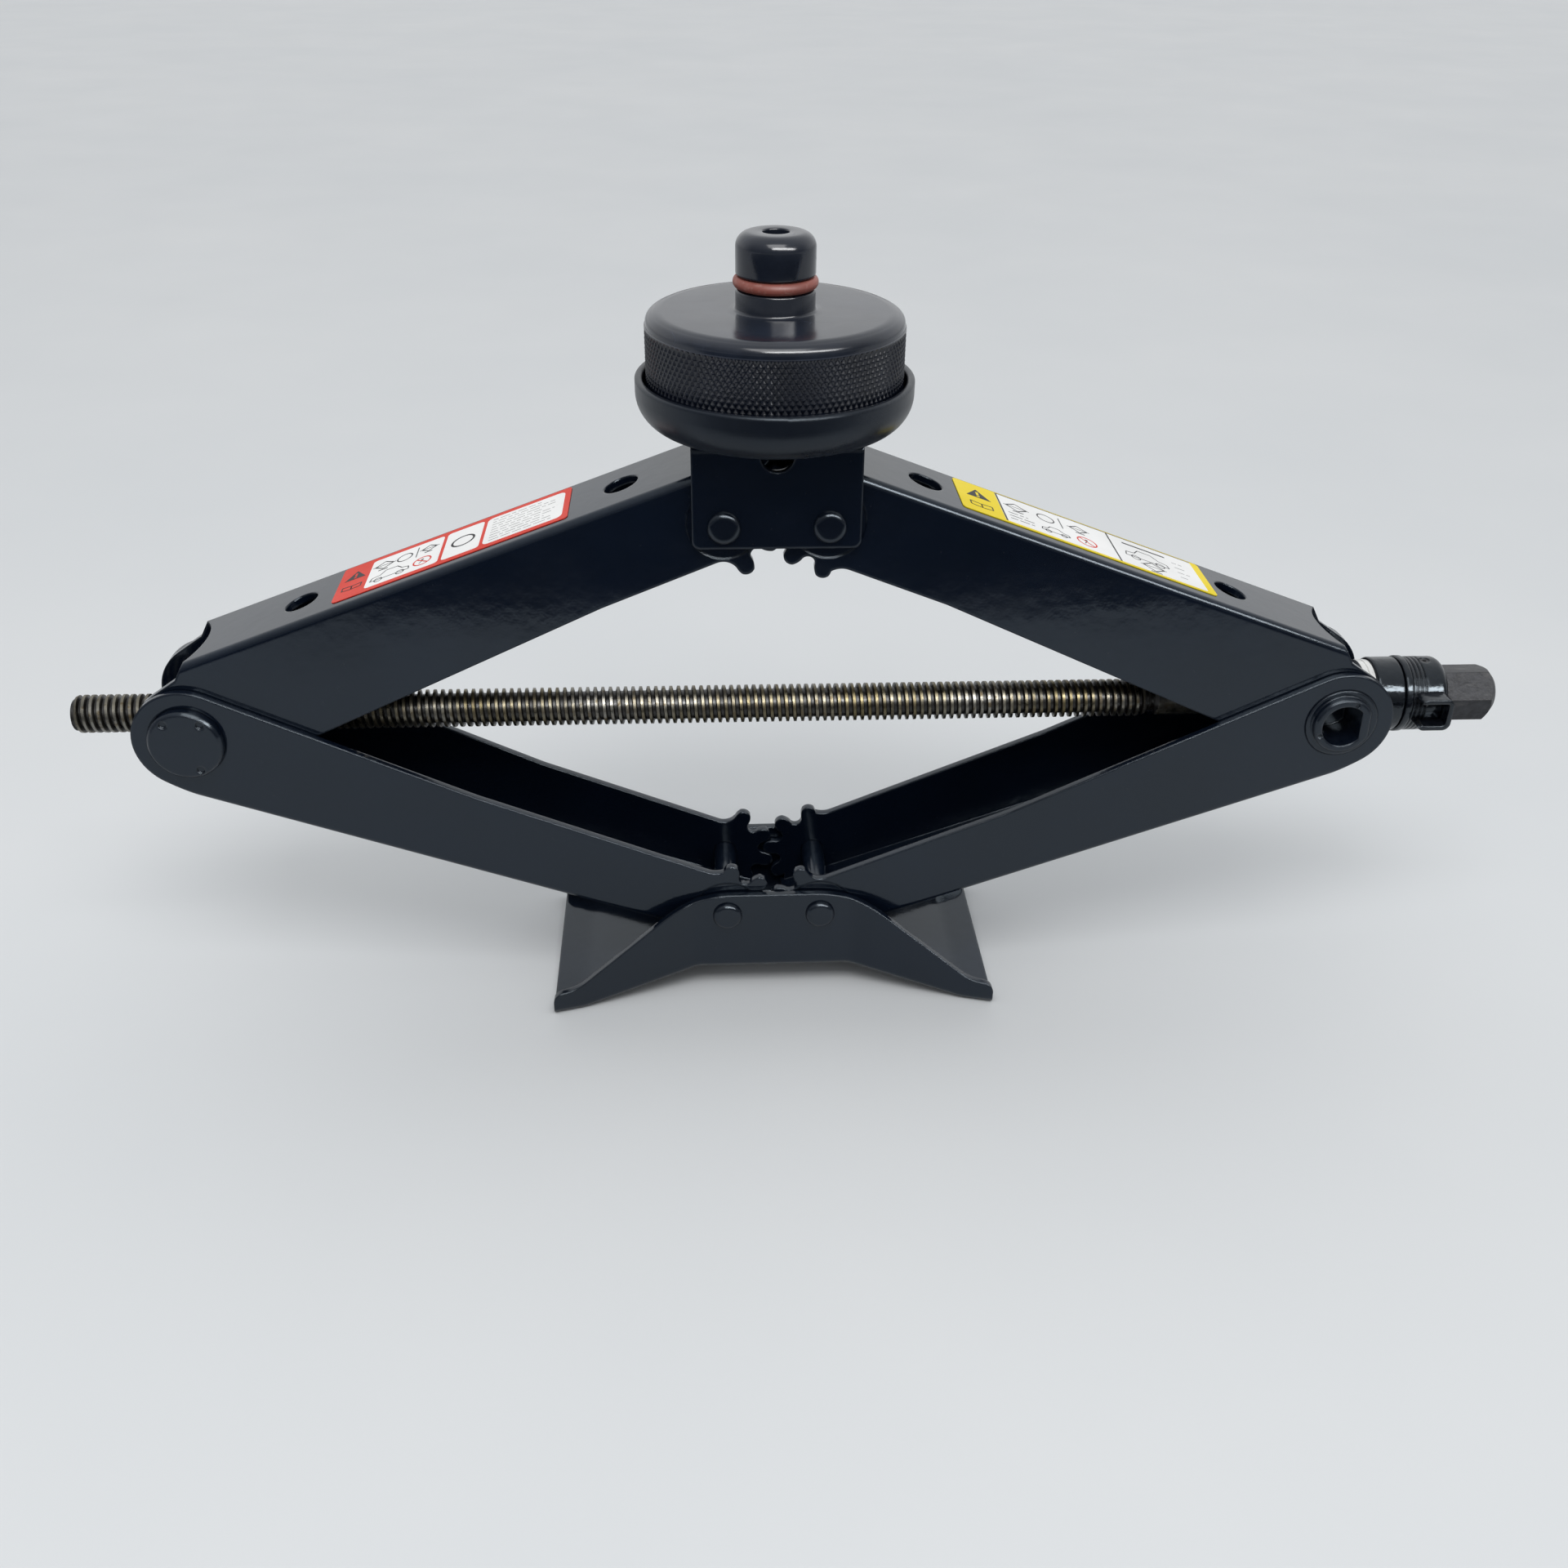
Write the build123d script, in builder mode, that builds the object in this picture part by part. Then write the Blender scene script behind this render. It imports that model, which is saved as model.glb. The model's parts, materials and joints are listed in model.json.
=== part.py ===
from build123d import *
import os
from math import acos, atan2, cos, hypot, pi, radians, sin, tan

# Scissor jack: four pressed channel arms geared together in pairs, a cross screw with a hex
# drive, and a round rubber lifting pad that lies in a dish. Millimetres, +Z up.
# Origin: the middle of the base's footprint on the floor. +X runs along the screw to its drive.

# ---- driving dimensions -------------------------------------------------------------------
ARM_LENGTH = 187.5        # gear pivot to trunnion
REST_ANGLE = 22.42        # arm above the horizontal, in the half-raised rest pose
PIVOT_HALF = 16.2         # half the distance between the two pivots of a pair, = pitch radius
BASE_PIVOT_Z = 31.8
SHEET = 2.5               # pressed steel sheet

UPPER_HALF = 17.4         # half widths over the outside of each channel
LOWER_HALF = 20.2
BRACKET_HALF = 20.4
BASE_HALF = 23.1

RISE = ARM_LENGTH * sin(radians(REST_ANGLE))
TRUNNION_X = PIVOT_HALF + ARM_LENGTH * cos(radians(REST_ANGLE))
SCREW_Z = BASE_PIVOT_Z + RISE
TOP_PIVOT_Z = BASE_PIVOT_Z + 2 * RISE

# gear ends of the arms
TEETH = 9
PRESSURE_ANGLE = radians(25)
BACKLASH = 0.7            # at the pitch circle, between meshing flanks
BASE_CIRCLE = PIVOT_HALF * cos(PRESSURE_ANGLE)
FLANK_END = 17.5
GEAR_TIP = 18.3
GEAR_ROOT = 12.4
TOOTH_PITCH = 2 * pi / TEETH

# arm outlines, along the arm and across it (the open side is positive)
EAR_RADIUS = 17.5
PIN_RADIUS = 4.0
TRUNNION_RADIUS = 12.0
RUNNING = 0.05            # radial clearance of every pin that turns
COIN_RADIUS = 11.5        # shallow coined ring round each gear pivot
COIN_DEPTH = 0.3
BEND_RADIUS = 3.0
ARM_BEND = 2.4

# base
BASE_SHEET = 2.6
FOOT_X = 77.3             # half length
FOOT_HALF = 36.4          # half depth at the feet
FOOT_FLAT_X = 67.0        # the last stretch lies flat on the floor
BASE_BEND_X = 27.0        # the flat, raised middle ends here
BASE_RAISE = 8.7
FLANGE_TOP = 40.0

# top bracket, dish and pad
BRACKET_X = 25.9
BRACKET_BOTTOM = 167.8
BRACKET_TOP = 200.9
DISH_RADIUS = 42.3
DISH_SHEET = 2.4
DISH_CORNER = 10.5
DISH_TOP = 215.9
PAD_RADIUS = 39.0
PAD_TOP = 235.2
SPIGOT_RADIUS = 11.85
SPIGOT_TOP = 257.5
RING_Z = 243.4
RING_SECTION = 1.75
RING_RADIUS = 10.9

# screw
SCREW_END = -231.4
THREAD_END = 130.0
THREAD_RADIUS = 6.35
THREAD_CORE = 4.9
THREAD_PITCH = 2.54
SHANK_RADIUS = 6.0
TAIL_RADIUS = 5.0

# drive end, stations along X
SPOTFACE_X = 200.4
WASHER_X = 200.6
CUP_X = 204.8
CUP_END_X = 214.2
RETAINER_X = 214.4
COLLAR_X = 217.0
COLLAR_END_X = 229.8
HEX_END_X = 248.2
TAIL_END_X = 238.0
WASHER_RADIUS = 11.9
COLLAR_RADIUS = 12.7
COLLAR_BORE = 9.0
HEX_FLATS = 17.0
HEX_TURN = 49.0
HEX_NOSE = 49.0           # slope of the turned nose
ROLL_PIN_X = 223.4
ROLL_PIN_RADIUS = 1.75
BALLS = 9
BALL_RADIUS = 2.1
BALL_RING = 8.2


def polar(radius, angle):
    return (radius * cos(angle), radius * sin(angle))


def save(part, name):
    part.label = name
    export_step(part, f"parts/{name}.step")


def across(x, z=SCREW_Z):
    """Plane square to the screw at x, its own x along +Y."""
    return Plane(origin=(x, 0, z), x_dir=(0, 1, 0), z_dir=(1, 0, 0))


def along_y(x, y, z):
    """Plane square to the pivots at y, its own x along +X and its normal along +Y."""
    return Plane(origin=(x, y, z), x_dir=(1, 0, 0), z_dir=(0, 1, 0))


# ---- gear teeth ---------------------------------------------------------------------------
def involute(angle):
    return tan(angle) - angle


def flank_half_angle(radius):
    """Half the angle that a tooth fills at this radius."""
    at_pitch = TOOTH_PITCH / 4 - BACKLASH / 4 / PIVOT_HALF
    return at_pitch + involute(PRESSURE_ANGLE) - involute(acos(BASE_CIRCLE / radius))


def flank(centre, side, start=BASE_CIRCLE):
    """Three points up one flank of a tooth, from a radius to where its crown begins."""
    radii = (start, (start + FLANK_END) / 2, FLANK_END)
    return [polar(r, centre + side * flank_half_angle(r)) for r in radii]


ROOT_HALF_ANGLE = flank_half_angle(BASE_CIRCLE)
FIRST_FLANK_START = 16.0  # the first tooth's outer flank runs out into the free edge from here


def tooth(centre, start=BASE_CIRCLE):
    """Both flanks and the rounded crown of one tooth, drawn with rising angle."""
    rise, fall = flank(centre, -1, start), flank(centre, 1)
    ThreePointArc(*rise)
    ThreePointArc(rise[2], polar(GEAR_TIP, centre), fall[2])
    ThreePointArc(*reversed(fall))


def gap(centre):
    """Round space between the teeth on either side of this angle."""
    half = TOOTH_PITCH / 2 - ROOT_HALF_ANGLE
    ends = (polar(BASE_CIRCLE, centre - half), polar(BASE_CIRCLE, centre + half))
    ThreePointArc(ends[0], polar(GEAR_ROOT, centre), ends[1])


# ---- arms ---------------------------------------------------------------------------------
class ArmPress:
    """Sizes of one arm pressing. web(u) is the outside of the web at u along the arm.

    near and far give, for each side plate, how high its free edge starts beside the gear and
    the bend in that edge from which it runs up to the ear.
    """

    def __init__(self, half, depth, taper, start, end, near, far, neck, holes=()):
        self.half, self.depth, self.taper = half, depth, taper
        self.start, self.end, self.neck, self.holes = start, end, neck, holes
        self.near, self.far = near, far

    def web(self, u):
        return -(self.depth + self.taper * u)


LOWER = ArmPress(
    LOWER_HALF, 11.7, 0.0435, start=-16.0, end=177.0, neck=(180.5, -18.9),
    near=(12.4, (95.0, 12.7)), far=(11.1, (74.0, 10.9)),
)
UPPER = ArmPress(
    UPPER_HALF, 17.2, 0.0345, start=-4.0, end=175.6, neck=(180.5, -19.3),
    near=(11.9, (46.0, 11.3)), far=(11.0, (46.0, 10.9)), holes=(26.7, 137.4),
)
WEB_HOLE_RADIUS = 5.75
WEB_END_CUT = 4.5         # depth of the round cut in the web at the trunnion
TRUNNION = (ARM_LENGTH, 0.0)


def ear_tangent(point, side):
    """Where a line from the point touches the ear's circle, on its far side."""
    du, dv = point[0] - ARM_LENGTH, point[1]
    angle = atan2(dv, du) + side * acos(EAR_RADIUS / hypot(du, dv))
    return (ARM_LENGTH + EAR_RADIUS * cos(angle), EAR_RADIUS * sin(angle))


def draw_side_plate(press, free_edge, first, teeth, last_gap):
    """Outline of one side plate. first is the angle of its first tooth."""
    edge_height, kink = free_edge
    web_start = (press.start, press.web(press.start))
    web_end = (press.end, press.web(press.end))
    low, high = ear_tangent(press.neck, 1), ear_tangent(kink, -1)
    foot = flank(first, -1, FIRST_FLANK_START)[0]
    valley = (foot[0] + 5.2, edge_height)
    Polyline(web_start, web_end, press.neck, low)
    ThreePointArc(low, (ARM_LENGTH + EAR_RADIUS, 0), high)
    Polyline(high, kink, valley)
    TangentArc(valley, foot, tangent=(-1, 0))
    for k in range(teeth):
        centre = first + k * TOOTH_PITCH
        tooth(centre, BASE_CIRCLE if k else FIRST_FLANK_START)
        if k < teeth - 1 or last_gap:
            gap(centre + TOOTH_PITCH / 2)
    turns = teeth if last_gap else teeth - 1
    sign = -1 if last_gap else 1
    Line(polar(BASE_CIRCLE, first + turns * TOOTH_PITCH + sign * ROOT_HALF_ANGLE), web_start)


# The two side plates of one arm are half a tooth apart, so that an arm turned half round about
# the vertical meshes with its twin.
FIRST_TOOTH_NEAR = radians(73.5)
FIRST_TOOTH_FAR = FIRST_TOOTH_NEAR + TOOTH_PITCH / 2


def channel_arm(seat, press):
    """An arm with its gear pivot at the seat's origin and its trunnion along the seat's x."""
    inner = press.half - SHEET
    web_line = Plane(
        origin=seat.from_local_coords((0, press.web(0), 0)),
        x_dir=seat.from_local_coords((1, -press.taper, 0)) - seat.from_local_coords((0, 0, 0)),
        z_dir=seat.from_local_coords((press.taper, 1, 0)) - seat.from_local_coords((0, 0, 0)),
    )
    with BuildPart() as arm:
        with BuildSketch(seat.offset(-press.half)):
            with BuildLine():
                draw_side_plate(press, press.near, FIRST_TOOTH_NEAR, 4, False)
            make_face()
        extrude(amount=SHEET)
        with BuildSketch(seat.offset(inner)):
            with BuildLine():
                draw_side_plate(press, press.far, FIRST_TOOTH_FAR, 3, True)
            make_face()
        extrude(amount=SHEET)
        ends = ((press.start, press.web(press.start)), (press.end, press.web(press.end)))
        with BuildSketch(seat):
            with BuildLine():
                Polyline(*ends, *[(u, v + SHEET) for u, v in reversed(ends)], close=True)
            make_face()
        extrude(amount=press.half, both=True)
        along = web_line.x_dir
        bends = [
            e for e in arm.edges().filter_by(GeomType.LINE)
            if abs(e.tangent_at(0).dot(along)) > 0.9999
            and abs(web_line.to_local_coords(e.center()).Z) < 0.01
            and abs(abs(seat.to_local_coords(e.center()).Z) - press.half) < 0.01
        ]
        fillet(bends, ARM_BEND)
        for spot, radius in (((0, 0), PIN_RADIUS), (TRUNNION, TRUNNION_RADIUS)):
            with BuildSketch(seat):
                with Locations(spot):
                    Circle(radius + RUNNING)
            extrude(amount=press.half + 1, both=True, mode=Mode.SUBTRACT)
        for outside in (press.half - COIN_DEPTH, -press.half):
            with BuildSketch(seat.offset(outside)):
                Circle(COIN_RADIUS)
            extrude(amount=COIN_DEPTH, mode=Mode.SUBTRACT)
        cut = (inner ** 2 + WEB_END_CUT ** 2) / 2 / WEB_END_CUT
        with BuildSketch(web_line):
            with Locations((press.end + cut - WEB_END_CUT, 0)):
                Circle(cut)
            with Locations((press.end, 0)):
                Rectangle(30, 2 * inner, mode=Mode.INTERSECT)
            with Locations(*[(u, 0) for u in press.holes]):
                if press.holes:
                    Circle(WEB_HOLE_RADIUS)
        extrude(amount=SHEET + 0.5, both=True, mode=Mode.SUBTRACT)
    return arm


def arm_seat(side, upper):
    """side is -1 for the left arm and 1 for the right one."""
    drop = -1 if upper else 1
    slope = radians(REST_ANGLE)
    return Plane(
        origin=(side * PIVOT_HALF, 0, TOP_PIVOT_Z if upper else BASE_PIVOT_Z),
        x_dir=(side * cos(slope), 0, drop * sin(slope)),
        z_dir=(0, -side * drop, 0),
    )


ARMS = {
    "lower_arm_left": (-1, False, LOWER), "lower_arm_right": (1, False, LOWER),
    "upper_arm_left": (-1, True, UPPER), "upper_arm_right": (1, True, UPPER),
}


# ---- base ---------------------------------------------------------------------------------
SOFT_BEND = 18.0          # radius of the slight bends between the middle, slopes and feet


def both_ways(half_line):
    """A line drawn over both halves of the base, from the left tip to the right one."""
    return [(-x, z) for x, z in reversed(half_line)] + half_line


def plan_side(trim):
    """Front long side of the base in plan, drawn in by trim."""
    return both_ways([(BASE_BEND_X, trim - BASE_HALF), (FOOT_X, trim - FOOT_HALF)])


def draw_plan(trim):
    front = plan_side(trim)
    back = [(x, -y) for x, y in front]
    FilletPolyline(*front, radius=SOFT_BEND)
    Line(front[-1], back[-1])
    FilletPolyline(*back, radius=SOFT_BEND)
    Line(back[0], front[0])


def floor_line(lift, reach):
    """The underside's line from tip to tip, raised by lift."""
    return both_ways([(BASE_BEND_X, BASE_RAISE + lift), (FOOT_FLAT_X, lift), (reach, lift)])


def underside_z(x):
    """Height of the underside above the floor, its soft bends left out."""
    slope = BASE_RAISE / (FOOT_FLAT_X - BASE_BEND_X)
    return min(BASE_RAISE, max(0.0, (FOOT_FLAT_X - abs(x)) * slope))


def make_base():
    with BuildPart() as trough:
        with BuildSketch(Plane.XZ):
            with BuildLine():
                low = floor_line(BASE_SHEET, FOOT_X)
                FilletPolyline(*low, radius=SOFT_BEND - BASE_SHEET)
                Polyline(low[-1], (FOOT_X, 60), (-FOOT_X, 60), low[0])
            make_face()
        extrude(amount=FOOT_HALF, both=True)
        with BuildSketch():
            with BuildLine():
                draw_plan(BASE_SHEET)
            make_face()
        extrude(amount=80, mode=Mode.INTERSECT)
    with BuildPart() as base:
        with BuildSketch(Plane.XZ):
            with BuildLine():
                low = floor_line(0, FOOT_X)
                FilletPolyline(*low, radius=SOFT_BEND)
                top = both_ways([(27.7, FLANGE_TOP), (69.6, 8.8), (FOOT_X, 8.6)])
                FilletPolyline(low[0], *top, low[-1], radius=[3.5, 14, 42, 42, 14, 3.5])
            make_face()
        extrude(amount=FOOT_HALF, both=True)
        with BuildSketch():
            with BuildLine():
                draw_plan(0)
            make_face()
        extrude(amount=80, mode=Mode.INTERSECT)
        bends = [
            e for e in base.edges()
            if abs(e.center().Y) > BASE_HALF - 1 and e.center().Z < underside_z(e.center().X) + 0.3
            and abs(e.tangent_at(0).X) > 0.8
        ]
        fillet(bends, BEND_RADIUS)
        add(trough.part, mode=Mode.SUBTRACT)
        with BuildSketch(Plane.XZ):
            with Locations((-PIVOT_HALF, BASE_PIVOT_Z), (PIVOT_HALF, BASE_PIVOT_Z)):
                Circle(PIN_RADIUS)
        extrude(amount=FOOT_HALF, both=True, mode=Mode.SUBTRACT)
    return base


# ---- top bracket, dish and its rivet ------------------------------------------------------
def make_bracket():
    inner = BRACKET_HALF - SHEET
    height = BRACKET_TOP - BRACKET_BOTTOM
    with BuildPart() as bracket:
        with BuildSketch(Plane.XY.offset(BRACKET_BOTTOM)):
            Rectangle(2 * BRACKET_X, 2 * BRACKET_HALF)
        extrude(amount=height)
        top_bends = bracket.edges().filter_by(Axis.X).group_by(Axis.Z)[-1]
        fillet(top_bends, BEND_RADIUS)
        corners = bracket.edges().filter_by(Axis.Y).group_by(Axis.Z)[0]
        fillet(corners, 2.5)
        with BuildSketch(Plane.XY.offset(BRACKET_BOTTOM)):
            Rectangle(2 * BRACKET_X + 2, 2 * inner)
        extrude(amount=height - SHEET, mode=Mode.SUBTRACT)
        with BuildSketch(Plane.XZ):
            with Locations((-PIVOT_HALF, TOP_PIVOT_Z), (PIVOT_HALF, TOP_PIVOT_Z)):
                Circle(PIN_RADIUS)
            with Locations((0, BRACKET_TOP - 3.4)):
                Circle(5.3)
        extrude(amount=BRACKET_HALF + 1, both=True, mode=Mode.SUBTRACT)
        with BuildSketch(Plane.XY.offset(BRACKET_TOP)):
            Circle(PIN_RADIUS)
        extrude(amount=-2 * SHEET, mode=Mode.SUBTRACT)
    return bracket


def make_dish():
    with BuildPart() as dish:
        with BuildSketch(Plane.XZ):
            with BuildLine():
                flat = DISH_RADIUS - DISH_CORNER
                bend = DISH_CORNER - DISH_SHEET
                under, floor = BRACKET_TOP, BRACKET_TOP + DISH_SHEET
                Polyline((PIN_RADIUS, floor), (PIN_RADIUS, under), (flat, under))
                TangentArc((flat, under), (DISH_RADIUS, under + DISH_CORNER), tangent=(1, 0))
                Polyline(
                    (DISH_RADIUS, under + DISH_CORNER), (DISH_RADIUS, DISH_TOP),
                    (DISH_RADIUS - DISH_SHEET, DISH_TOP), (DISH_RADIUS - DISH_SHEET, floor + bend),
                )
                TangentArc(
                    (DISH_RADIUS - DISH_SHEET, floor + bend), (flat, floor), tangent=(0, -1))
                Line((flat, floor), (PIN_RADIUS, floor))
            make_face()
        revolve(axis=Axis.Z)
        rim = dish.edges().group_by(Axis.Z)[-1]
        fillet(rim, 0.8)
    return dish


def make_saddle_rivet():
    with BuildPart() as rivet:
        with BuildSketch(Plane.XY.offset(BRACKET_TOP - SHEET - 2.4)):
            Circle(6.5)
        extrude(amount=2.4)
        with BuildSketch(Plane.XY.offset(BRACKET_TOP - SHEET)):
            Circle(PIN_RADIUS)
        extrude(amount=SHEET + DISH_SHEET)
        with BuildSketch(Plane.XY.offset(BRACKET_TOP + DISH_SHEET)):
            Circle(8.0)
        extrude(amount=1.6)
        heads = rivet.edges().group_by(Axis.Z)
        fillet(heads[0] + heads[-1], 1.2)
    return rivet


# ---- pad ----------------------------------------------------------------------------------
def make_pad():
    pad_bottom = BRACKET_TOP + DISH_SHEET + 0.1
    groove = RING_SECTION + 0.25
    with BuildPart() as pad:
        with BuildSketch(Plane.XY.offset(pad_bottom)):
            Circle(PAD_RADIUS)
        extrude(amount=PAD_TOP - pad_bottom)
        fillet(pad.edges().group_by(Axis.Z)[-1], 3.2)
        fillet(pad.edges().group_by(Axis.Z)[0], 9.0)
        with BuildSketch(Plane.XY.offset(pad_bottom)):
            Circle(11)
        extrude(amount=3, mode=Mode.SUBTRACT)
        with BuildSketch(Plane.XY.offset(PAD_TOP)):
            Circle(SPIGOT_RADIUS)
        extrude(amount=SPIGOT_TOP - PAD_TOP)
        fillet(pad.edges().group_by(Axis.Z)[-1], 4.2)
        with BuildSketch(Plane.XY.offset(RING_Z - groove)):
            Circle(SPIGOT_RADIUS + 1)
            Circle(RING_RADIUS - RING_SECTION - 0.05, mode=Mode.SUBTRACT)
        extrude(amount=2 * groove, mode=Mode.SUBTRACT)
        lips = [
            e for e in pad.edges().filter_by(GeomType.CIRCLE)
            if abs(e.radius - SPIGOT_RADIUS) < 0.01
            and abs(abs(e.center().Z - RING_Z) - groove) < 0.01
        ]
        fillet(lips, 0.7)
        with Locations((0, 0, SPIGOT_TOP)):
            Hole(3.9, depth=12)
    return pad


def make_o_ring():
    with BuildPart() as ring:
        with BuildSketch(Plane.XZ):
            with Locations((RING_RADIUS, RING_Z)):
                Circle(RING_SECTION)
        revolve(axis=Axis.Z)
    return ring


# ---- pivots -------------------------------------------------------------------------------
HEAD_RADIUS = 5.1
HEAD_HEIGHT = 1.9


def pivot_rivet(x, z, half):
    """A through rivet along Y with a low round head at each end."""
    with BuildPart() as rivet:
        with BuildSketch(along_y(x, -half, z)):
            Circle(PIN_RADIUS)
        extrude(amount=2 * half)
        for start in (-half - HEAD_HEIGHT, half):
            with BuildSketch(along_y(x, start, z)):
                Circle(HEAD_RADIUS)
            extrude(amount=HEAD_HEIGHT)
        ends = rivet.edges().group_by(Axis.Y)
        fillet(ends[0] + ends[-1], 1.6)
    return rivet


def stake_spots(radius, marks):
    """Where a trunnion's rim is punched, to spread it over the arm."""
    return [polar(radius, radians(-mark)) for mark in marks]


def make_trunnion_nut():
    half = 23.4
    with BuildPart() as nut:
        with BuildSketch(along_y(-TRUNNION_X, -half, SCREW_Z)):
            Circle(TRUNNION_RADIUS)
        extrude(amount=2 * half)
        ends = nut.edges().group_by(Axis.Y)
        chamfer(ends[0] + ends[-1], 0.9)
        with BuildSketch(across(-TRUNNION_X)):
            Circle(THREAD_RADIUS + RUNNING)
        extrude(amount=TRUNNION_RADIUS + 1, both=True, mode=Mode.SUBTRACT)
        for face, sink in ((-half, 0.7), (half, -0.7)):
            with BuildSketch(along_y(-TRUNNION_X, face, SCREW_Z)):
                with Locations(*stake_spots(9.6, (125, 51, -67))):
                    Circle(1.3)
            extrude(amount=sink, mode=Mode.SUBTRACT)
    return nut


def make_trunnion_block():
    """The drive's trunnion: each end has a boss with one flat, and a D-shaped hollow in it."""
    half, boss_half = 20.7, 23.2
    boss, boss_flat, tilt = 10.0, 9.0, -2.0
    bore, flat, depth = 7.4, 5.6, 14.6
    with BuildPart() as block:
        with BuildSketch(along_y(TRUNNION_X, -half, SCREW_Z)):
            Circle(TRUNNION_RADIUS)
        extrude(amount=2 * half)
        with BuildSketch(along_y(TRUNNION_X, -boss_half, SCREW_Z)):
            Circle(boss)
            with Locations(Location(polar(boss_flat + boss, radians(tilt)), tilt)):
                Rectangle(2 * boss, 2 * boss, mode=Mode.SUBTRACT)
        extrude(amount=2 * boss_half)
        ends = block.edges().group_by(Axis.Y)
        chamfer(ends[0] + ends[-1], 0.7)
        with BuildSketch(across(TRUNNION_X)):
            Circle(SHANK_RADIUS + RUNNING)
        extrude(amount=TRUNNION_RADIUS + 1, both=True, mode=Mode.SUBTRACT)
        with BuildSketch(across(SPOTFACE_X)):
            Circle(13.4)
        extrude(amount=5, mode=Mode.SUBTRACT)
        for face, sink in ((-boss_half, depth), (boss_half, -depth)):
            with BuildSketch(along_y(TRUNNION_X, face, SCREW_Z)):
                Circle(bore)
                with Locations(Location(polar(flat + bore, radians(tilt)), tilt)):
                    Rectangle(2 * bore, 2 * bore, mode=Mode.SUBTRACT)
            extrude(amount=sink, mode=Mode.SUBTRACT)
        for face, sink in ((-boss_half, 0.6), (boss_half, -0.6)):
            with BuildSketch(along_y(TRUNNION_X, face, SCREW_Z)):
                with Locations(*stake_spots(8.35, (68, 205))):
                    Circle(0.8)
            extrude(amount=sink, mode=Mode.SUBTRACT)
    return block


# ---- screw and drive ----------------------------------------------------------------------
def make_screw():
    """The thread stands as rings of the real pitch and form; the shank and tail follow."""
    flank = (THREAD_RADIUS - THREAD_CORE) * tan(radians(14.5))
    flat = THREAD_PITCH / 2 - flank
    turns = int((THREAD_END - SCREW_END - 2) / THREAD_PITCH)
    with BuildPart() as screw:
        with BuildSketch(Plane.XZ.shift_origin((0, 0, SCREW_Z))):
            line = [(SCREW_END, 0), (SCREW_END, THREAD_CORE - 0.6), (SCREW_END + 1.2, THREAD_CORE)]
            for k in range(turns):
                x = SCREW_END + 2 + k * THREAD_PITCH
                line += [
                    (x, THREAD_CORE), (x + flank, THREAD_RADIUS),
                    (x + flank + flat, THREAD_RADIUS), (x + 2 * flank + flat, THREAD_CORE),
                ]
            line += [
                (THREAD_END, THREAD_CORE), (THREAD_END, SHANK_RADIUS), (COLLAR_X - 0.1, SHANK_RADIUS),
                (COLLAR_X - 0.1, TAIL_RADIUS), (TAIL_END_X - 0.1, TAIL_RADIUS), (TAIL_END_X - 0.1, 0),
            ]
            with BuildLine():
                Polyline(*line, close=True)
            make_face()
        revolve(axis=Axis((0, 0, SCREW_Z), (1, 0, 0)))
        with BuildSketch(Plane.XY.offset(SCREW_Z)):
            with Locations((ROLL_PIN_X, 0)):
                Circle(ROLL_PIN_RADIUS)
        extrude(amount=COLLAR_RADIUS, both=True, mode=Mode.SUBTRACT)
    return screw


def ring(x0, x1, inner, outer, edge=0.0):
    """A plain ring about the screw, with its outer edges broken."""
    with BuildPart() as band:
        with BuildSketch(across(x0)):
            Circle(outer)
            Circle(inner, mode=Mode.SUBTRACT)
        extrude(amount=x1 - x0)
        if edge:
            circles = band.edges().filter_by(GeomType.CIRCLE)
            rims = [e for e in circles if abs(e.radius - outer) < 0.01]
            fillet(rims, edge)
    return band


def make_bearing_cup():
    with BuildPart() as cup:
        with BuildSketch(across(CUP_X)):
            Circle(COLLAR_RADIUS)
        extrude(amount=CUP_END_X - CUP_X)
        fillet(cup.edges().filter_by(GeomType.CIRCLE), 0.8)
        with BuildSketch(across(CUP_X)):
            Circle(10.4)
        extrude(amount=CUP_END_X - CUP_X - 2, mode=Mode.SUBTRACT)
        with BuildSketch(across(CUP_X)):
            Circle(SHANK_RADIUS)
        extrude(amount=CUP_END_X - CUP_X, mode=Mode.SUBTRACT)
    return cup


def make_balls():
    with BuildPart() as balls:
        with Locations(across(CUP_X + 2.3)):
            with PolarLocations(BALL_RING, BALLS):
                Sphere(BALL_RADIUS)
    return balls


def make_drive_collar():
    """Welded-on collar: three ribs towards the bearing, a rounded nose towards the hex."""
    ribs = [COLLAR_X + 0.9 + k * 1.5 for k in range(3)]
    with BuildPart() as collar:
        with BuildSketch(across(COLLAR_X)):
            Circle(COLLAR_RADIUS)
        extrude(amount=COLLAR_END_X - COLLAR_X)
        nose = collar.edges().group_by(Axis.X)[-1]
        fillet(nose, 3.2)
        with BuildSketch(across(COLLAR_X)):
            Circle(COLLAR_BORE)
        extrude(amount=COLLAR_END_X - COLLAR_X, mode=Mode.SUBTRACT)
        for rib in ribs:
            with BuildSketch(across(rib)):
                Circle(COLLAR_RADIUS + 1)
                Circle(COLLAR_RADIUS - 0.55, mode=Mode.SUBTRACT)
            extrude(amount=0.7, mode=Mode.SUBTRACT)
        with BuildSketch(Plane.XY.offset(SCREW_Z)):
            with Locations((ROLL_PIN_X, 0)):
                Circle(ROLL_PIN_RADIUS)
        extrude(amount=COLLAR_RADIUS + 1, both=True, mode=Mode.SUBTRACT)
    return collar


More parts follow.
